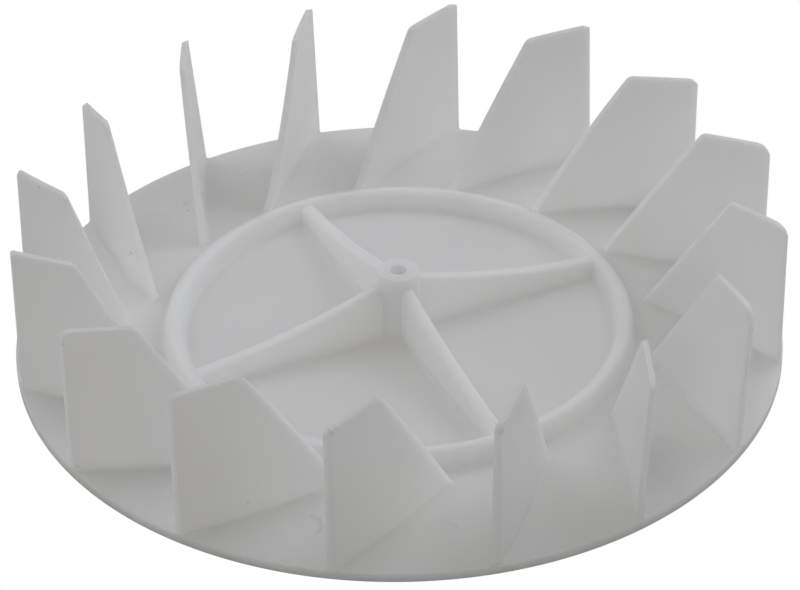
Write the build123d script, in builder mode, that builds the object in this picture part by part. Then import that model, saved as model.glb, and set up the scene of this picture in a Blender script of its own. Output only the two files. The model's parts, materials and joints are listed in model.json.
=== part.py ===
# Centrifugal fan wheel of a roof vent: one moulding with a thin disc, upright swept
# blades flush with the rim, a round ring bead, tapering ribs and a bored hub.
# Millimetres. The underside of the disc lies on z = 0 and the shaft axis is the z axis.
from build123d import *
from math import atan2, cos, degrees, hypot, radians, sin, sqrt, tan
import os

os.makedirs("parts", exist_ok=True)

# Disc
disc_diameter = 152.4
disc_thickness = 1.9
rim_chamfer = 0.2

# Blades
blade_count = 16
blade_height = 31.4
blade_root_thickness = 1.45
blade_tip_thickness = 1.1
blade_rim_step = 0.3
blade_top_width = 10.9
blade_ring_gap = 3.5
blade_sweep = 19.6
blade_bow = 0.6
blade_outer_corner = 1.8
blade_inner_corner = 1.6
blade_foot_flare = 0.7
first_blade_azimuth = 12.9

# Ring bead
ring_diameter = 89.8
ring_height = 4.1
ring_crest_width = 3.2
ring_base_width = 4.0

# Ribs
rib_count = 4
rib_base_width = 3.2
rib_draft = 2.4
rib_hub_height = 12.5
rib_ring_height = 3.4
rib_sag = 1.5
rib_crest_chamfer = 0.5
first_rib_azimuth = 25.5
rib_groove_width = 0.9
rib_groove_depth = 3.2

# Hub and bore for a standard 1/8 inch shaft
hub_top_diameter = 8.2
hub_base_diameter = 9.0
hub_height = 14.1
hub_chamfer = 0.35
hub_foot_flare = 1.3
bore_diameter = 3.175
bore_lead_in = 0.2

# Flare where ring and ribs stand on the disc
foot_flare = 0.7

# How deep each piece reaches into the disc that it is moulded to
overlap = 0.6

disc_radius = disc_diameter / 2
floor = disc_thickness
blade_top = floor + blade_height
blade_outer_radius = disc_radius - blade_rim_step
blade_eye_radius = blade_outer_radius - blade_top_width
ring_radius = ring_diameter / 2
blade_root_radius = ring_radius + ring_base_width / 2 + blade_ring_gap

# In plan a blade is one shallow arc from its outer end to its inner root. Chord and bow
# give the bend radius and the upright axis that the curved wall is turned about.
outer_x, outer_y = blade_outer_radius, 0.0
root_x = blade_root_radius * cos(radians(blade_sweep))
root_y = blade_root_radius * sin(radians(blade_sweep))
chord = hypot(root_x - outer_x, root_y - outer_y)
bend_radius = (chord**2 / 4 + blade_bow**2) / (2 * blade_bow)
bow_x = (root_y - outer_y) / chord
bow_y = (outer_x - root_x) / chord
bend_x = (outer_x + root_x) / 2 - bow_x * (bend_radius - blade_bow)
bend_y = (outer_y + root_y) / 2 - bow_y * (bend_radius - blade_bow)
bend_margin = degrees(3 * blade_root_thickness / bend_radius)
bend_start = degrees(atan2(outer_y - bend_y, outer_x - bend_x)) - bend_margin
bend_end = degrees(atan2(root_y - bend_y, root_x - bend_x)) + bend_margin

# Curved wall with draft and a flared foot: its section turned about the bend axis.
start_direction = (cos(radians(bend_start)), sin(radians(bend_start)), 0)
start_normal = (sin(radians(bend_start)), -cos(radians(bend_start)), 0)
half_root = blade_root_thickness / 2
half_tip = blade_tip_thickness / 2
half_foot = half_root + blade_foot_flare
with BuildPart() as blade_wall:
    with BuildSketch(Plane((bend_x, bend_y, 0), start_direction, start_normal)):
        with BuildLine():
            Polyline(
                (bend_radius - half_foot, floor - overlap),
                (bend_radius + half_foot, floor - overlap),
                (bend_radius + half_foot, floor),
                (bend_radius + half_root, floor + blade_foot_flare),
                (bend_radius + half_tip, blade_top),
                (bend_radius - half_tip, blade_top),
                (bend_radius - half_root, floor + blade_foot_flare),
                (bend_radius - half_foot, floor),
                close=True,
            )
        make_face()
    revolve(axis=Axis((bend_x, bend_y, 0), (0, 0, 1)), revolution_arc=bend_end - bend_start)

# The top edge of the blade ends where its arc crosses the circle of the wheel's eye.
bend_distance = hypot(bend_x, bend_y)
along = (blade_eye_radius**2 + bend_distance**2 - bend_radius**2) / (2 * bend_distance)
across = sqrt(blade_eye_radius**2 - along**2)
eye_x = (along * bend_x - across * bend_y) / bend_distance

# Its outline is upright at the rim, rounded at the outer corner, level on top, rounded
# again and slopes in to the root. It is drawn on the radial plane and pushed across.
slope = (eye_x - root_x) / blade_height
with BuildPart() as blade:
    add(blade_wall.part)
    with BuildSketch(Plane.XZ) as outline:
        with BuildLine():
            Polyline(
                (outer_x, floor - overlap),
                (outer_x, blade_top),
                (eye_x, blade_top),
                (root_x - slope * overlap, floor - overlap),
                close=True,
            )
        make_face()
        top_corners = outline.vertices().group_by(Axis.Y)[-1].sort_by(Axis.X)
        fillet(top_corners[-1], radius=blade_outer_corner)
        top_corners = outline.vertices().group_by(Axis.Y)[-1].sort_by(Axis.X)
        fillet(top_corners[0], radius=blade_inner_corner)
    extrude(amount=disc_radius, both=True, mode=Mode.INTERSECT)

# Disc, ring bead and hub are turned about the shaft axis.
crest_radius = ring_crest_width / 2
ring_spring = floor + ring_height - crest_radius
ring_inner = ring_radius - ring_base_width / 2
ring_outer = ring_radius + ring_base_width / 2
hub_top = floor + hub_height
hub_top_radius = hub_top_diameter / 2
hub_base_radius = hub_base_diameter / 2
with BuildPart() as turned_body:
    with BuildSketch(Plane.XZ) as disc_section:
        with Locations((disc_radius / 2, floor / 2)):
            Rectangle(disc_radius, disc_thickness)
        chamfer(disc_section.vertices().group_by(Axis.X)[-1], length=rim_chamfer)
    revolve(axis=Axis.Z)
    with BuildSketch(Plane.XZ):
        with BuildLine():
            Polyline(
                (ring_radius - crest_radius, ring_spring),
                (ring_inner, floor + foot_flare),
                (ring_inner - foot_flare, floor),
                (ring_inner - foot_flare, floor - overlap),
                (ring_outer + foot_flare, floor - overlap),
                (ring_outer + foot_flare, floor),
                (ring_outer, floor + foot_flare),
                (ring_radius + crest_radius, ring_spring),
            )
            ThreePointArc(
                (ring_radius + crest_radius, ring_spring),
                (ring_radius, floor + ring_height),
                (ring_radius - crest_radius, ring_spring),
            )
        make_face()
    revolve(axis=Axis.Z)
    with BuildSketch(Plane.XZ):
        with BuildLine():
            Polyline(
                (0, floor - overlap),
                (hub_base_radius + hub_foot_flare, floor - overlap),
                (hub_base_radius + hub_foot_flare, floor),
                (hub_base_radius, floor + hub_foot_flare),
                (hub_top_radius, hub_top - hub_chamfer),
                (hub_top_radius - hub_chamfer, hub_top),
                (0, hub_top),
                close=True,
            )
        make_face()
    revolve(axis=Axis.Z)

# Rib: a drafted bar with flared feet, cut to a crest that sags from the hub to the ring.
crest_run = tan(radians(rib_draft)) * (rib_hub_height - foot_flare)
rib_start = hub_top_radius / 2
rib_half_base = rib_base_width / 2
rib_half_foot = rib_half_base + foot_flare
with BuildPart() as rib:
    with BuildSketch(Plane.YZ.offset(rib_start)):
        with BuildLine():
            Polyline(
                (-rib_half_foot, floor - overlap),
                (rib_half_foot, floor - overlap),
                (rib_half_foot, floor),
                (rib_half_base, floor + foot_flare),
                (rib_half_base - crest_run, floor + rib_hub_height),
                (crest_run - rib_half_base, floor + rib_hub_height),
                (-rib_half_base, floor + foot_flare),
                (-rib_half_foot, floor),
                close=True,
            )
        make_face()
    extrude(amount=ring_radius - rib_start)
    with BuildSketch(Plane.XZ):
        with BuildLine():
            hub_end = (rib_start, floor + rib_hub_height)
            ring_end = (ring_radius, floor + rib_ring_height)
            middle_height = (rib_hub_height + rib_ring_height) / 2 - rib_sag
            ThreePointArc(hub_end, ((rib_start + ring_radius) / 2, floor + middle_height), ring_end)
            Polyline(ring_end, (ring_radius, 0), (rib_start, 0), hub_end)
        make_face()
    extrude(amount=2 * rib_half_foot, both=True, mode=Mode.INTERSECT)
    crest = rib.faces().sort_by(Axis.Z)[-1]
    crest_edges = crest.edges().filter_by(lambda edge: edge.length > ring_radius / 2)
    chamfer(crest_edges, length=rib_crest_chamfer)

# The wheel is all of these joined and bored. One rib has a narrow groove at the hub.
groove_floor = floor + rib_hub_height - rib_groove_depth
groove_seat = (Align.CENTER, Align.CENTER, Align.MIN)
with BuildPart() as fan_wheel:
    add(turned_body.part)
    with PolarLocations(0, rib_count, start_angle=first_rib_azimuth):
        add(rib.part)
    with PolarLocations(0, blade_count, start_angle=first_blade_azimuth):
        add(blade.part)
    with Locations(Rotation(0, 0, first_rib_azimuth + 180)):
        with Locations((hub_top_radius + rib_groove_width / 2, 0, groove_floor)):
            Box(rib_groove_width, rib_base_width, rib_hub_height, align=groove_seat, mode=Mode.SUBTRACT)
    with Locations((0, 0, hub_top / 2)):
        Cylinder(bore_diameter / 2, hub_top, mode=Mode.SUBTRACT)
    with Locations((0, 0, hub_top - bore_lead_in / 2)):
        Cone(bore_diameter / 2, bore_diameter / 2 + bore_lead_in, bore_lead_in, mode=Mode.SUBTRACT)

fan_wheel.part.label = "fan_wheel"
export_step(fan_wheel.part, "parts/fan_wheel.step")
print("fan_wheel volume", round(fan_wheel.part.volume), "mm3, solids", len(fan_wheel.part.solids()))
print("faces", len(fan_wheel.part.faces()), fan_wheel.part.bounding_box())
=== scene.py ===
# %% [markdown]
# # A roof vent fan wheel in Blender
# The real object is one moulding in milky plastic: a thin disc with a ring of upright swept
# blades at its rim, a round ring bead, four tapering ribs and a small bored hub. This lesson
# models it by hand with mesh operators, joins the forms into one closed skin, and gives it a
# translucent plastic with the small marks that moulding and use leave.

import json
from math import atan2, cos, degrees, hypot, pi, radians, sin, sqrt, tan

import bpy
from mathutils import Matrix, Vector

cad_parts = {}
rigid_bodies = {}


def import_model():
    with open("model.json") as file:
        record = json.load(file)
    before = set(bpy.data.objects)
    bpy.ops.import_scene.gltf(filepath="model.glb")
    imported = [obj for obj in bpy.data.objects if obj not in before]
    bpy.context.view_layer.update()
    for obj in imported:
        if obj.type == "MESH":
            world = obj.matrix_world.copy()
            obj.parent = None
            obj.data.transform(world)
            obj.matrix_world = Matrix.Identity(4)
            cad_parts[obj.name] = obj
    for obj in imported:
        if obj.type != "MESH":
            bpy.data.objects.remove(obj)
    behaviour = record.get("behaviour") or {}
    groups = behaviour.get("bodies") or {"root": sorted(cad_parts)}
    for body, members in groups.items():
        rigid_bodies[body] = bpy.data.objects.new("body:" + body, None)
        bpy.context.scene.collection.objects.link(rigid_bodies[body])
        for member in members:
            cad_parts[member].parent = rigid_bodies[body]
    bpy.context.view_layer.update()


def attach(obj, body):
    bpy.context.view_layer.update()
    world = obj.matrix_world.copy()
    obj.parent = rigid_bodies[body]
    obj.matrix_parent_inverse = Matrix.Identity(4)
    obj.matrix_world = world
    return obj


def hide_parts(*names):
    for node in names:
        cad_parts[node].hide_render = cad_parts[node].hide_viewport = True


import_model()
MM = 0.001

# %% [markdown]
# ## Sizes
# Every form stands on the sizes of the CAD model, so they are named once here, in
# millimetres. The disc lies on the floor with the shaft axis on the z axis, and `deck` is
# the upper side of the disc, where the blades, the ring and the ribs stand.

# %% Sizes of the wheel
disc_radius = 76.2
deck = 1.9
rim_softness = 0.2
ring_radius = 44.9
ring_height = 4.1
ring_crest_radius = 1.6
ring_half_base = 2.0
hub_top_radius = 4.1
hub_base_radius = 4.5
hub_height = 14.1
hub_softness = 0.35
hub_foot = 1.3
bore_radius = 1.5875
bore_lead_in = 0.2
foot_radius = 0.7
wide_foot_radius = 1.3
sunk = 0.6
weld_gap = 0.002
print("disc", 2 * disc_radius, "mm across, ring bead", 2 * ring_radius, "mm across")

# %% [markdown]
# ## Disc, ring bead and hub
# These three share one axis, so they could be three cylinders, or one outline that is turned
# like a pot on a wheel. The outline is the better way: fillets between the forms come with
# it, and the skin is closed from the start. A circle the size of the bore is added, and its
# edge loop is extruded and scaled again and again, ring by ring, along the outline.

# %% Helpers for the outline
def arc_points(centre_r, centre_z, radius, start, end, steps):
    points = []
    for step in range(steps + 1):
        angle = radians(start + (end - start) * step / steps)
        points.append((centre_r + radius * cos(angle), centre_z + radius * sin(angle)))
    return points


def deselect_all():
    if bpy.context.object and bpy.context.object.mode == "EDIT":
        bpy.ops.object.mode_set(mode="OBJECT")
    bpy.ops.object.select_all(action="DESELECT")


def turned_skin(name, outline, segments):
    deselect_all()
    first_r, first_z = outline[0]
    place = (0, 0, first_z * MM)
    bpy.ops.mesh.primitive_circle_add(vertices=segments, radius=first_r * MM, location=place)
    piece = bpy.context.object
    piece.name = name
    bpy.ops.object.transform_apply(location=True, rotation=True, scale=True)
    bpy.ops.object.mode_set(mode="EDIT")
    bpy.ops.mesh.select_all(action="SELECT")
    r, z = first_r, first_z
    for next_r, next_z in outline[1:]:
        bpy.ops.mesh.extrude_region_move(TRANSFORM_OT_translate={"value": (0, 0, (next_z - z) * MM)})
        widen = next_r / r
        bpy.ops.transform.resize(value=(widen, widen, 1), center_override=(0, 0, 0))
        r, z = next_r, next_z
    bpy.ops.mesh.select_all(action="SELECT")
    bpy.ops.mesh.remove_doubles(threshold=weld_gap * MM)
    bpy.ops.mesh.normals_make_consistent(inside=False)
    bpy.ops.object.mode_set(mode="OBJECT")
    return piece


# %% Outline of the turned body
# The sides of ring and hub lean by their draft, in degrees, where the fillets meet them. The
# spare rings cut the long flats into bands, so that no face is stretched.
ring_draft = 8
hub_draft = 2
underside_rings = (20.0, 60.0)
outer_deck_rings = (70.0, 58.0)
inner_deck_rings = (28.0, 14.0)
turned_segments = 240
hub_top = deck + hub_height
crest_z = deck + ring_height - ring_crest_radius
ring_out = ring_radius + ring_half_base
ring_in = ring_radius - ring_half_base
outline = [(bore_radius, 0.0)]
outline += [(r, 0.0) for r in underside_rings]
outline += arc_points(disc_radius - rim_softness, rim_softness, rim_softness, -90, 0, 4)
outline += arc_points(disc_radius - rim_softness, deck - rim_softness, rim_softness, 0, 90, 4)
outline += [(r, deck) for r in outer_deck_rings]
foot_z = deck + wide_foot_radius
outline += arc_points(ring_out + wide_foot_radius, foot_z, wide_foot_radius, 270, 180 + ring_draft, 6)
outline += arc_points(ring_radius, crest_z, ring_crest_radius, ring_draft, 180 - ring_draft, 14)
outline += arc_points(ring_in - wide_foot_radius, foot_z, wide_foot_radius, -ring_draft, -90, 6)
outline += [(r, deck) for r in inner_deck_rings]
outline += arc_points(hub_base_radius + hub_foot, deck + hub_foot, hub_foot, 270, 180 + hub_draft, 7)
outline += arc_points(hub_top_radius - hub_softness, hub_top - hub_softness, hub_softness, hub_draft, 90, 4)
outline += [(bore_radius + bore_lead_in, hub_top), (bore_radius, hub_top - bore_lead_in)]
outline += [(bore_radius, 0.0)]
wheel = turned_skin("fan_wheel_skin", outline, turned_segments)
print("turned body:", len(wheel.data.vertices), "vertices,", len(wheel.data.polygons), "faces")

# %% [markdown]
# ## A drafted wall
# Blades and ribs are both upright walls that get thinner towards the top, so that the
# moulding leaves its tool, with a small fillet at the foot. Such a wall could be a cube that
# is scaled at the top, but then the fillet is missing. Here it starts as an upright grid.
# Solidify gives it its thickness, and a vertex group says how thick it is at each height.

# %% Wall helper
fillet_steps = 4
height_slack = 0.01
height_digits = 4


def drafted_wall(name, length, height, root_half, tip_half, foot, columns):
    deselect_all()
    bpy.ops.mesh.primitive_grid_add(x_subdivisions=columns, y_subdivisions=1, size=1)
    piece = bpy.context.object
    piece.name = name
    piece.rotation_euler = (pi / 2, 0, 0)
    upright = height - foot
    piece.scale = (length * MM, upright * MM, 1)
    piece.location = (0, 0, (deck + foot + upright / 2) * MM)
    bpy.ops.object.transform_apply(location=True, rotation=True, scale=True)
    half_at = {
        round(deck + height, height_digits): tip_half,
        round(deck + foot, height_digits): root_half,
    }
    bpy.ops.object.mode_set(mode="EDIT")
    bpy.ops.mesh.select_mode(type="VERT")
    bpy.ops.mesh.select_all(action="DESELECT")
    bpy.ops.object.mode_set(mode="OBJECT")
    for vertex in piece.data.vertices:
        vertex.select = vertex.co.z < (deck + foot + height_slack) * MM
    bpy.ops.object.mode_set(mode="EDIT")
    at = deck + foot
    fillet = arc_points(root_half + foot, deck + foot, foot, 180, 270, fillet_steps)[1:]
    for half, z in fillet + [(root_half + foot, deck - sunk)]:
        bpy.ops.mesh.extrude_region_move(TRANSFORM_OT_translate={"value": (0, 0, (z - at) * MM)})
        half_at[round(z, height_digits)] = half
        at = z
    bpy.ops.object.mode_set(mode="OBJECT")
    widest = root_half + foot
    group = piece.vertex_groups.new(name="thickness")
    heights = sorted(half_at)
    for vertex in piece.data.vertices:
        z = vertex.co.z / MM
        nearest = min(heights, key=lambda level: abs(level - z))
        group.add([vertex.index], half_at[nearest] / widest, "REPLACE")
    return piece, 2 * widest


def apply_modifier(piece, kind, **settings):
    deselect_all()
    piece.select_set(True)
    bpy.context.view_layer.objects.active = piece
    modifier = piece.modifiers.new(kind.lower(), kind)
    for key, value in settings.items():
        setattr(modifier, key, value)
    bpy.ops.object.modifier_apply(modifier=modifier.name)


def thicken(piece, thickness):
    apply_modifier(
        piece, "SOLIDIFY", thickness=thickness * MM, offset=0, vertex_group="thickness",
        use_even_offset=True, use_rim=True,
    )
    piece.vertex_groups.clear()


# %% [markdown]
# ## Blade
# In plan a blade is one shallow arc from the rim to its root outside the ring bead. A grid
# can be bent with Simple Deform before it gets its thickness. Its outline is then cut with
# bisect planes that fill their cuts: upright at the rim, rounded at the outer corner, level
# on top, rounded again, and sloping in to the root. A row of tangent cuts makes each corner.

# %% Blade sizes
blade_count = 16
blade_height = 31.4
blade_root_half = 0.725
blade_tip_half = 0.55
blade_rim_step = 0.3
blade_top_width = 10.9
blade_ring_gap = 3.5
blade_outer_radius = disc_radius - blade_rim_step
blade_eye_radius = blade_outer_radius - blade_top_width
blade_root_radius = ring_out + blade_ring_gap
blade_sweep = 19.6
blade_bow = 0.6
blade_inner_corner = 1.6
first_blade_azimuth = 12.9
blade_top = deck + blade_height
outer_x, outer_y = blade_outer_radius, 0.0
root_x = blade_root_radius * cos(radians(blade_sweep))
root_y = blade_root_radius * sin(radians(blade_sweep))
chord = hypot(root_x - outer_x, root_y - outer_y)
bend_radius = (chord**2 / 4 + blade_bow**2) / (2 * blade_bow)
bow_x = (root_y - outer_y) / chord
bow_y = (outer_x - root_x) / chord
apex_x = (outer_x + root_x) / 2 + bow_x * blade_bow
apex_y = (outer_y + root_y) / 2 + bow_y * blade_bow
bend_x = apex_x - bow_x * bend_radius
bend_y = apex_y - bow_y * bend_radius
# The top ends where the arc crosses the circle of the wheel's eye.
bend_distance = hypot(bend_x, bend_y)
along = (blade_eye_radius**2 + bend_distance**2 - bend_radius**2) / (2 * bend_distance)
across = sqrt(blade_eye_radius**2 - along**2)
eye_x = (along * bend_x - across * bend_y) / bend_distance
print("blade chord", round(chord, 2), "mm, bend radius", round(bend_radius, 1), "mm")


# %% Cuts of the outline
cut_tolerance = 0.001
cut_weld_gap = 0.005


def cut(point, normal):
    bpy.ops.mesh.select_all(action="SELECT")
    place = (point[0] * MM, 0, point[1] * MM)
    facing = (normal[0], 0, normal[1])
    bpy.ops.mesh.bisect(
        plane_co=place, plane_no=facing, use_fill=True, clear_outer=True, threshold=cut_tolerance * MM
    )
    bpy.ops.mesh.select_all(action="SELECT")
    bpy.ops.mesh.remove_doubles(threshold=cut_weld_gap * MM)


def round_corner(centre, radius, start, end, steps):
    for step in range(steps + 1):
        angle = radians(start + (end - start) * step / steps)
        normal = (cos(angle), sin(angle))
        cut((centre[0] + radius * normal[0], centre[1] + radius * normal[1]), normal)


# %% Bent wall
# The wall is longer than the blade, and the cuts take its spare ends off.
wall_spare = 8
blade_columns = 16
wall_length = chord + wall_spare
blade_wall, thickness = drafted_wall(
    "blade_wall", wall_length, blade_height, blade_root_half, blade_tip_half, foot_radius, blade_columns
)
apply_modifier(
    blade_wall, "SIMPLE_DEFORM", deform_method="BEND", deform_axis="Z", angle=wall_length / bend_radius
)
thicken(blade_wall, thickness)
blade_wall.rotation_euler = (0, 0, atan2(bow_x, -bow_y))
blade_wall.location = (apex_x * MM, apex_y * MM, 0)
bpy.ops.object.transform_apply(location=True, rotation=True, scale=True)
print("bent wall:", len(blade_wall.data.polygons), "faces")

# %% [markdown]
# A moulded edge is never sharp. The edges above the foot are selected by their angle and get
# a small bevel, which catches the light along the top and the ends of each blade.


# %% Soft edges
sharp_edge = 40
foot_clearance = 0.05


def soften(piece, width, segments, wanted):
    deselect_all()
    bpy.context.view_layer.objects.active = piece
    piece.select_set(True)
    bpy.ops.object.mode_set(mode="EDIT")
    bpy.ops.mesh.select_mode(type="EDGE")
    bpy.ops.mesh.select_all(action="DESELECT")
    bpy.ops.mesh.edges_select_sharp(sharpness=radians(sharp_edge))
    bpy.ops.object.mode_set(mode="OBJECT")
    points = piece.data.vertices
    for edge in piece.data.edges:
        if edge.select:
            start, end = (points[index].co / MM for index in edge.vertices)
            edge.select = wanted(start, end)
    bpy.ops.object.mode_set(mode="EDIT")
    bpy.ops.mesh.bevel(offset=width * MM, segments=segments, affect="EDGES", clamp_overlap=True)
    bpy.ops.object.mode_set(mode="OBJECT")


def above_foot(start, end):
    return min(start.z, end.z) > deck + foot_radius + foot_clearance


# %% [markdown]
# The blades come from one wall, but they aren't quite alike: their outer corners are more or
# less rounded, and thin walls warp a little as a moulding cools. So each blade is a copy of
# the wall with its own corner, and then leans, twists and shifts by its own small angles. A
# lean lifts one edge of the top a hair's breadth, so the top is brought back to its height.

# %% One blade
# The tangent cuts of a corner stop short of the flats, which are already there.
edge_softness = 0.16
edge_segments = 2
outer_corner_end = 80
outer_corner_steps = 7
inner_corner_start = 98
inner_corner_steps = 6
slope = atan2(blade_height, eye_x - root_x)
inner_facing = degrees(slope) + 90
inner_centre_x = eye_x + blade_inner_corner * tan(radians((inner_facing - 90) / 2))
foot_point = Vector((apex_x, apex_y, deck)) * MM
chord_axis = Vector((root_x - outer_x, root_y - outer_y, 0))


def copied(piece, name, turn=0.0):
    twin = piece.copy()
    twin.data = piece.data.copy()
    twin.name = name
    bpy.context.scene.collection.objects.link(twin)
    twin.data.transform(Matrix.Rotation(radians(turn), 4, "Z"))
    return twin


def finished_blade(number, corner, drop, lean, twist, shift):
    blade = copied(blade_wall, f"blade_{number + 1}")
    deselect_all()
    bpy.context.view_layer.objects.active = blade
    blade.select_set(True)
    bpy.ops.object.mode_set(mode="EDIT")
    fall = degrees(atan2(drop, outer_x - eye_x))
    corner_top = blade_top - drop - corner * (1 - tan(radians(fall / 2)))
    round_corner((outer_x - corner, corner_top), corner, 0, outer_corner_end - fall, outer_corner_steps)
    if drop:
        cut((eye_x, blade_top), (sin(radians(fall)), cos(radians(fall))))
    inner_centre = (inner_centre_x, blade_top - blade_inner_corner)
    round_corner(inner_centre, blade_inner_corner, inner_corner_start, inner_facing, inner_corner_steps)
    bpy.ops.object.mode_set(mode="OBJECT")
    soften(blade, edge_softness, edge_segments, above_foot)
    blade.data.transform(Matrix.Translation(-foot_point))
    apply_modifier(blade, "SIMPLE_DEFORM", deform_method="TWIST", deform_axis="Z", angle=radians(twist))
    blade.data.transform(Matrix.Rotation(radians(lean), 4, chord_axis))
    blade.data.transform(Matrix.Translation(foot_point))
    turn = first_blade_azimuth + shift + 360 / blade_count * number
    blade.data.transform(Matrix.Rotation(radians(turn), 4, "Z"))
    for vertex in blade.data.vertices:
        vertex.co.z = min(vertex.co.z, blade_top * MM)
    return blade


# %% Ring of blades
# One number per blade, counted counterclockwise from the one at the back right. Corners and
# drops of the top are millimetres, the other numbers are degrees.
outer_corners = [2.0, 0.9, 0.4, 0.4, 0.8, 1.0, 1.0, 1.0, 0.8, 2.2, 2.2, 1.4, 1.4, 1.4, 2.6, 2.6]
outer_drops = [0.0, 0.0, 0.0, 0.0, 0.0, 1.0, 2.5, 0.0, 0.0, 0.0, 0.0, 0.0, 0.0, 0.8, 0.0, 0.0]
leans = [-0.7, 0.7, 2.5, 0.3, -3.0, 4.3, -0.5, -0.9, -0.6, -1.5, -1.2, -1.1, 0.6, 2.1, 2.4, -1.1]
twists = [-0.2, -9.0, -1.0, 0.4, 8.0, 0.4, 0.0, -0.5, -1.6, 1.3, 1.1, 1.0, -0.3, 1.0, -0.1, -0.3]
shifts = [-0.2, 0.2, -0.6, -0.1, 0.6, -1.8, 0.0, 1.6, 1.0, 0.1, -0.2, 0.0, -0.1, -0.3, -0.6, 0.0]
walls = []
for number in range(blade_count):
    warp = (leans[number], twists[number], shifts[number])
    walls.append(finished_blade(number, outer_corners[number], outer_drops[number], *warp))
bpy.data.objects.remove(blade_wall)
print(len(walls), "blades of about", len(walls[0].data.polygons), "faces")

# %% [markdown]
# ## Rib
# A rib is the same kind of wall, straight and thicker, and its crest sags from the hub to the
# ring. A large cylinder is laid across the wall and taken away with a Boolean, which scoops
# the crest in one true arc, and the two long crest edges are rounded.

# %% Rib sizes
rib_count = 4
rib_half_base = 1.6
rib_draft = 2.4
rib_hub_height = 12.5
rib_ring_height = 3.4
rib_sag = 1.5
rib_crest_softness = 0.85
rib_crest_segments = 4
first_rib_azimuth = 25.5
rib_groove_width = 0.9
rib_groove_depth = 3.2
rib_start = 2.4
rib_columns = 14
rib_spare_height = 1
crest_clearance = 2
scoop_segments = 600
scoop_width = 20
rib_length = ring_radius - rib_start
rib_middle = (ring_radius + rib_start) / 2
rib_half_crest = rib_half_base - tan(radians(rib_draft)) * (rib_hub_height - wide_foot_radius)


# %% Scooped rib
def boolean(piece, tool, operation):
    apply_modifier(piece, "BOOLEAN", object=tool, operation=operation, solver="EXACT")
    bpy.data.objects.remove(tool)


def circle_through(a, b, c):
    ax, az, bx, bz, cx, cz = *a, *b, *c
    twice = 2 * (ax * (bz - cz) + bx * (cz - az) + cx * (az - bz))
    a2, b2, c2 = ax * ax + az * az, bx * bx + bz * bz, cx * cx + cz * cz
    x = (a2 * (bz - cz) + b2 * (cz - az) + c2 * (az - bz)) / twice
    z = (a2 * (cx - bx) + b2 * (ax - cx) + c2 * (bx - ax)) / twice
    return x, z, hypot(ax - x, az - z)


rib, rib_thickness = drafted_wall(
    "rib", rib_length, rib_hub_height + rib_spare_height, rib_half_base, rib_half_crest,
    wide_foot_radius, rib_columns,
)
thicken(rib, rib_thickness)
rib.location = (rib_middle * MM, 0, 0)
bpy.ops.object.transform_apply(location=True, rotation=True, scale=True)
hub_end = (hub_top_radius / 2, deck + rib_hub_height)
ring_end = (ring_radius, deck + rib_ring_height)
sagged = ((hub_end[0] + ring_end[0]) / 2, (hub_end[1] + ring_end[1]) / 2 - rib_sag)
scoop_x, scoop_z, scoop_radius = circle_through(hub_end, sagged, ring_end)
deselect_all()
bpy.ops.mesh.primitive_cylinder_add(
    vertices=scoop_segments, radius=scoop_radius * MM, depth=scoop_width * MM,
    location=(scoop_x * MM, 0, scoop_z * MM), rotation=(pi / 2, 0, 0),
)
boolean(rib, bpy.context.object, "DIFFERENCE")


def along_crest(start, end):
    step = end - start
    return min(start.z, end.z) > deck + crest_clearance and abs(step.x) > max(abs(step.y), abs(step.z))


soften(rib, rib_crest_softness, rib_crest_segments, along_crest)
print("rib:", len(rib.data.polygons), "faces, scoop radius", round(scoop_radius, 1), "mm")

# %% [markdown]
# Four copies of the rib stand round the hub. One of them has a narrow groove where it meets
# the hub, cut with a small block.

# %% Ribs round the hub
for number in range(rib_count):
    turn = first_rib_azimuth + 360 / rib_count * number
    walls.append(copied(rib, f"rib_{number + 1}", turn))
bpy.data.objects.remove(rib)
print(rib_count, "ribs stand round the hub")

# %% Groove
groove_block_width = 6
groove_block_height = 10
grooved_rib = blade_count + 2
groove_azimuth = radians(first_rib_azimuth + 180)
groove_r = hub_top_radius + rib_groove_width / 2
groove_z = deck + rib_hub_height - rib_groove_depth + groove_block_height / 2
groove_place = Vector((groove_r * cos(groove_azimuth), groove_r * sin(groove_azimuth), groove_z)) * MM
deselect_all()
bpy.ops.mesh.primitive_cube_add(
    size=MM, location=groove_place, rotation=(0, 0, groove_azimuth),
    scale=(rib_groove_width, groove_block_width, groove_block_height),
)
boolean(walls[grooved_rib], bpy.context.object, "DIFFERENCE")
print("the groove is", rib_groove_depth, "mm deep")

# %% [markdown]
# ## Ejector-pin marks
# The pins that push the moulding out of its tool leave faint round marks between the blades.
# They could be a bump in the material, but a shallow sunk disc is real shape, so it is cut
# with flat cones.

# %% Marks
mark_radius = 3.2
mark_depth = 0.1
mark_ring_radius = 64.5
mark_turn = 16.0
mark_segments = 48
deselect_all()
bpy.ops.mesh.primitive_cone_add(
    vertices=mark_segments, radius1=(mark_radius - mark_depth) * MM,
    radius2=(mark_radius + mark_depth) * MM, depth=2 * mark_depth * MM,
    location=(mark_ring_radius * MM, 0, deck * MM),
)
bpy.ops.object.transform_apply(location=True, rotation=True, scale=True)
pin = bpy.context.object
pins = []
for number in range(blade_count):
    turn = first_blade_azimuth + mark_turn + 360 / blade_count * number
    pins.append(copied(pin, f"pin_{number + 1}", turn))
bpy.data.objects.remove(pin)


# %% Marks cut into the deck
def joined(pieces, name):
    deselect_all()
    for piece in pieces:
        piece.select_set(True)
    bpy.context.view_layer.objects.active = pieces[0]
    bpy.ops.object.join()
    pieces[0].name = name
    return pieces[0]


boolean(wheel, joined(pins, "ejector_pins"), "DIFFERENCE")
print(blade_count, "ejector marks,", mark_depth, "mm deep")

# %% [markdown]
# ## One closed skin
# Light wanders inside milky plastic, so walls that only poke into the disc would show as
# separate bodies. A Boolean union makes one closed skin of everything. The fillets and the
# flats are then shaded smooth by angle, with normals weighted by face area, which keeps the
# flats flat.

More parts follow.
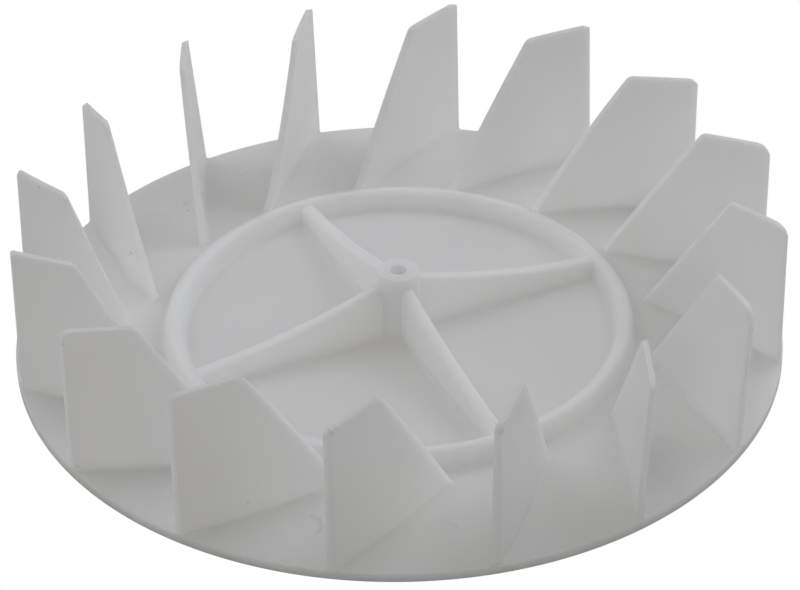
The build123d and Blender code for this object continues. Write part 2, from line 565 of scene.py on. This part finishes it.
# %% Union
smooth_angle = 35
flat_weight = 80
boolean(wheel, joined(walls, "walls"), "UNION")
deselect_all()
wheel.select_set(True)
bpy.context.view_layer.objects.active = wheel
bpy.ops.object.mode_set(mode="EDIT")
bpy.ops.mesh.select_all(action="SELECT")
bpy.ops.mesh.remove_doubles(threshold=weld_gap * MM)
bpy.ops.object.mode_set(mode="OBJECT")
bpy.ops.object.shade_smooth_by_angle(angle=radians(smooth_angle))
apply_modifier(wheel, "WEIGHTED_NORMAL", keep_sharp=True, weight=flat_weight)
print("skin:", len(wheel.data.vertices), "vertices,", len(wheel.data.polygons), "faces")
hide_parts("fan_wheel")
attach(wheel, "root")

# %% [markdown]
# ## Milky plastic
# The wheel is moulded in unfilled white plastic. Light goes a few millimetres into it before
# it comes out again, so thin walls glow and shadows are filled. A plain white colour would
# look like paint, so the shader scatters light below the surface, a little further for red
# than for blue, which makes shaded corners warm. Faint clouds in the colour, a fine grain and
# an uneven gloss break up the flats, as on a real moulding.

# %% Shader
scatter_reach = (1.0, 0.96, 0.9)
scatter_depth = 4.8
plastic = bpy.data.materials.new("milky_plastic")
plastic.use_nodes = True
nodes, links = plastic.node_tree.nodes, plastic.node_tree.links
shader = nodes["Principled BSDF"]
shader.inputs["Subsurface Weight"].default_value = 1.0
shader.inputs["Subsurface Radius"].default_value = scatter_reach
shader.inputs["Subsurface Scale"].default_value = scatter_depth * MM
shader.inputs["IOR"].default_value = 1.5
shader.inputs["Specular IOR Level"].default_value = 0.4
wheel.data.materials.clear()
wheel.data.materials.append(plastic)
coordinates = nodes.new("ShaderNodeTexCoord").outputs["Object"]
print("light scatters over about", scatter_depth, "mm")


# %% Node helpers
def noise(feature_size, detail):
    node = nodes.new("ShaderNodeTexNoise")
    node.inputs["Scale"].default_value = 1 / (feature_size * MM)
    node.inputs["Detail"].default_value = detail
    links.new(coordinates, node.inputs["Vector"])
    return node.outputs["Fac"]


def spread(value, low, high, to_low, to_high):
    node = nodes.new("ShaderNodeMapRange")
    node.interpolation_type = "SMOOTHSTEP"
    for socket, number in zip(node.inputs[1:5], (low, high, to_low, to_high)):
        socket.default_value = number
    links.new(value, node.inputs["Value"])
    return node.outputs["Result"]


def calculate(operation, first, second):
    node = nodes.new("ShaderNodeMath")
    node.operation = operation
    links.new(first, node.inputs[0])
    links.new(second, node.inputs[1])
    return node.outputs["Value"]


def blend_colours(factor, first, second):
    node = nodes.new("ShaderNodeMix")
    node.data_type = "RGBA"
    links.new(factor, node.inputs["Factor"])
    for socket, colour in ((node.inputs["A"], first), (node.inputs["B"], second)):
        if isinstance(colour, tuple):
            socket.default_value = (*colour, 1)
        else:
            links.new(colour, socket)
    return node.outputs["Result"]


# %% Clouds, grain and gloss
cloud_size = 22
gloss_patch_size = 14
grain_size = 0.9
grain_height = 0.02
dense_milk = (0.945, 0.942, 0.929)
thin_milk = (0.953, 0.951, 0.942)
glossy, dull = 0.36, 0.43
clouds = spread(noise(cloud_size, 3.0), 0.3, 0.7, 0.0, 1.0)
milk = blend_colours(clouds, dense_milk, thin_milk)
gloss = spread(noise(gloss_patch_size, 2.0), 0.25, 0.75, glossy, dull)
links.new(gloss, shader.inputs["Roughness"])
grain = nodes.new("ShaderNodeBump")
grain.inputs["Strength"].default_value = 0.25
grain.inputs["Distance"].default_value = grain_height * MM
links.new(noise(grain_size, 3.0), grain.inputs["Height"])
links.new(grain.outputs["Normal"], shader.inputs["Normal"])
print("clouds of", cloud_size, "mm, grain of", grain_size, "mm")

# %% [markdown]
# ## Dirt and painted shade
# The wheel has been handled: a few dark specks sit on the deck and the blades, and the outer
# corners of the two front blades are scuffed. One ejector mark also gets painted shade, a dark arc along
# one side of its sunk edge.
# Each speck is a small ball round a place on the surface. A fine noise makes its edge uneven.

# %% Places of the dirt
# Each line has x, y and z, the radius in millimetres and how strong the speck is.
deck_specks = [
    (43.1, -39.6, 2.0, 0.3, 0.4),
    (-44.3, 43.8, deck, 0.3, 0.4),
    (-44.5, 47.7, deck, 0.3, 0.3),
    (-44.9, 46.4, deck, 0.9, 0.15),
]
blade_specks = [
    (-70.2, 6.1, 32.4, 0.3, 0.5),
    (-54.4, 18.6, 8.2, 0.35, 0.6),
    (-28.1, -59.2, 5.3, 0.25, 0.4),
    (-60.6, -44.8, 2.9, 0.25, 0.4),
    (-61.5, -44.1, 30.5, 0.3, 0.4),
    (64.0, -39.5, 31.4, 0.4, 0.3),
]
scuffed_corners = [
    (18.1, -73.0, 33.0, 0.3, 0.6),
    (17.7, -73.7, 32.2, 1.1, 0.3),
    (18.0, -73.1, 31.5, 0.3, 0.45),
    (-12.1, -74.2, 32.6, 0.9, 0.3),
    (-11.3, -73.7, 33.0, 0.35, 0.3),
]

# %% Painted shade along one ejector mark
shaded_mark_gap = 10
painted_shade_radius = 0.5
painted_shade_count = 15
shaded_mark_turn = radians(first_blade_azimuth + mark_turn + 360 / blade_count * shaded_mark_gap)
shaded_mark_x = mark_ring_radius * cos(shaded_mark_turn)
shaded_mark_y = mark_ring_radius * sin(shaded_mark_turn)
# A row of dark dots paints shade along one side of this ejector mark's sunk edge, strongest in the middle
# of the arc.
painted_edge_shade = []
for step in range(painted_shade_count):
    angle = radians(-35 + 7 * step)
    edge_x, edge_y = shaded_mark_x + mark_radius * cos(angle), shaded_mark_y + mark_radius * sin(angle)
    strength = 0.2 - 0.01 * abs(step - 6)
    painted_edge_shade.append((edge_x, edge_y, deck, painted_shade_radius, strength))

# %% Dirt and painted shade in the shader
# One dark colour serves the specks and scuffs, which are dirt and wear, and the dots along the ejector
# mark, which are painted shade.
dirt_and_shade_colour = (0.2, 0.19, 0.14)
ragged_size = 0.35
solid_share = 0.4
ragged = spread(noise(ragged_size, 2.0), 0.25, 0.75, 0.6, 1.5)
dirt_and_shade = None
places = deck_specks + blade_specks + scuffed_corners + painted_edge_shade
for x, y, z, radius, strength in places:
    gap = nodes.new("ShaderNodeVectorMath")
    gap.operation = "DISTANCE"
    links.new(coordinates, gap.inputs[0])
    gap.inputs[1].default_value = (x * MM, y * MM, z * MM)
    uneven = calculate("MULTIPLY", gap.outputs["Value"], ragged)
    spot = spread(uneven, solid_share * radius * MM, radius * MM, strength, 0.0)
    dirt_and_shade = spot if dirt_and_shade is None else calculate("MAXIMUM", dirt_and_shade, spot)
links.new(blend_colours(dirt_and_shade, milk, dirt_and_shade_colour), shader.inputs["Base Color"])
print(len(places), "dirty places,", len(nodes), "nodes")

# %% [markdown]
# ## Floor, light and camera
# The wheel lies on backlit white paper that the camera sees as pure white, as under a product
# picture. A little of that light comes up through the thin disc. The wheel gets its other
# light from a large softbox overhead, two small cool ones low behind it, one at each side and
# a warm one in front, so that no side is dark and the blades have no hard shadows.

# %% Floor
floor_width = 6
paper_grey = (0.6, 0.6, 0.6, 1)
glow_colour = (1.0, 0.92, 0.8, 1)
glow_strength = 0.095
deselect_all()
bpy.ops.mesh.primitive_plane_add(size=floor_width, location=(0, 0, 0))
floor = bpy.context.object
floor.name = "studio_floor"
paper = bpy.data.materials.new("white_paper")
paper.use_nodes = True
paper_nodes, paper_links = paper.node_tree.nodes, paper.node_tree.links
paper_shader = paper_nodes["Principled BSDF"]
paper_shader.inputs["Base Color"].default_value = paper_grey
paper_shader.inputs["Roughness"].default_value = 0.9
paper_shader.inputs["Emission Color"].default_value = glow_colour
paper_shader.inputs["Emission Strength"].default_value = glow_strength
overexposed = paper_nodes.new("ShaderNodeEmission")
mixer = paper_nodes.new("ShaderNodeMixShader")
seen = paper_nodes.new("ShaderNodeLightPath")
paper_links.new(seen.outputs["Is Camera Ray"], mixer.inputs[0])
paper_links.new(paper_shader.outputs["BSDF"], mixer.inputs[1])
paper_links.new(overexposed.outputs["Emission"], mixer.inputs[2])
paper_links.new(mixer.outputs["Shader"], paper_nodes["Material Output"].inputs["Surface"])
floor.data.materials.append(paper)
print("floor", floor_width, "m wide")

# %% Room
# The room is pure white for the camera and dim for the wheel.
room_strength = 0.05
world = bpy.data.worlds.new("studio")
bpy.context.scene.world = world
world.use_nodes = True
room_nodes, room_links = world.node_tree.nodes, world.node_tree.links
room = room_nodes["Background"]
room.inputs["Color"].default_value = (1, 1, 1, 1)
room_path = room_nodes.new("ShaderNodeLightPath")
room_range = room_nodes.new("ShaderNodeMapRange")
room_range.inputs["To Min"].default_value = room_strength
room_range.inputs["To Max"].default_value = 1.0
room_links.new(room_path.outputs["Is Camera Ray"], room_range.inputs["Value"])
room_links.new(room_range.outputs["Result"], room.inputs["Strength"])
print("room strength", room_strength)


# %% Softboxes
def softbox(name, azimuth, elevation, distance, width, height, watts, colour):
    data = bpy.data.lights.new(name, "AREA")
    data.shape = "RECTANGLE"
    data.size = width
    data.size_y = height
    data.energy = watts
    data.color = colour
    lamp = bpy.data.objects.new(name, data)
    bpy.context.scene.collection.objects.link(lamp)
    turn, rise = radians(azimuth), radians(elevation)
    reach = distance * cos(rise)
    lamp.location = (reach * cos(turn), reach * sin(turn), distance * sin(rise))
    lamp.rotation_euler = (-lamp.location).to_track_quat("-Z", "Y").to_euler()
    lamp.visible_camera = False


# Azimuth and elevation are degrees, then come distance, width and height in metres, and watts.
neutral = (0.985, 0.985, 1.0)
cool = (0.915, 0.93, 1.0)
warm = (1.0, 0.985, 0.9)
softbox("overhead", 90, 80, 1.0, 1.1, 1.1, 2.0, neutral)
softbox("back_right", 40, 35, 0.45, 0.4, 0.3, 0.59, cool)
softbox("back_left", 140, 35, 0.45, 0.4, 0.3, 0.37, neutral)
softbox("left", 185, 35, 1.2, 1.0, 0.8, 1.45, cool)
softbox("right", 355, 35, 1.2, 1.0, 0.8, 1.2, cool)
softbox("front", 270, 40, 1.2, 1.2, 0.8, 1.9, warm)
print(len(bpy.data.lights), "softboxes")

# %% Camera
# Light has to travel many times between walls this white, so it may bounce more than usual.
camera_place = (0.000255, -0.499644, 0.358437)
aim = Vector((0.000255, 0.011414, 0.0019))
camera_roll = -0.735
light_bounces = 14
camera_data = bpy.data.cameras.new("camera")
camera = bpy.data.objects.new("camera", camera_data)
bpy.context.scene.collection.objects.link(camera)
bpy.context.scene.camera = camera
camera_data.lens = 138.25
camera_data.sensor_width = 36
camera.location = camera_place
look = (aim - camera.location).to_track_quat("-Z", "Y").to_matrix().to_4x4()
camera.rotation_euler = (look @ Matrix.Rotation(radians(camera_roll), 4, "Z")).to_euler()
bpy.context.scene.view_settings.view_transform = "Standard"
bpy.context.scene.cycles.diffuse_bounces = light_bounces
print("camera", round(camera.location.length, 3), "m from the wheel")
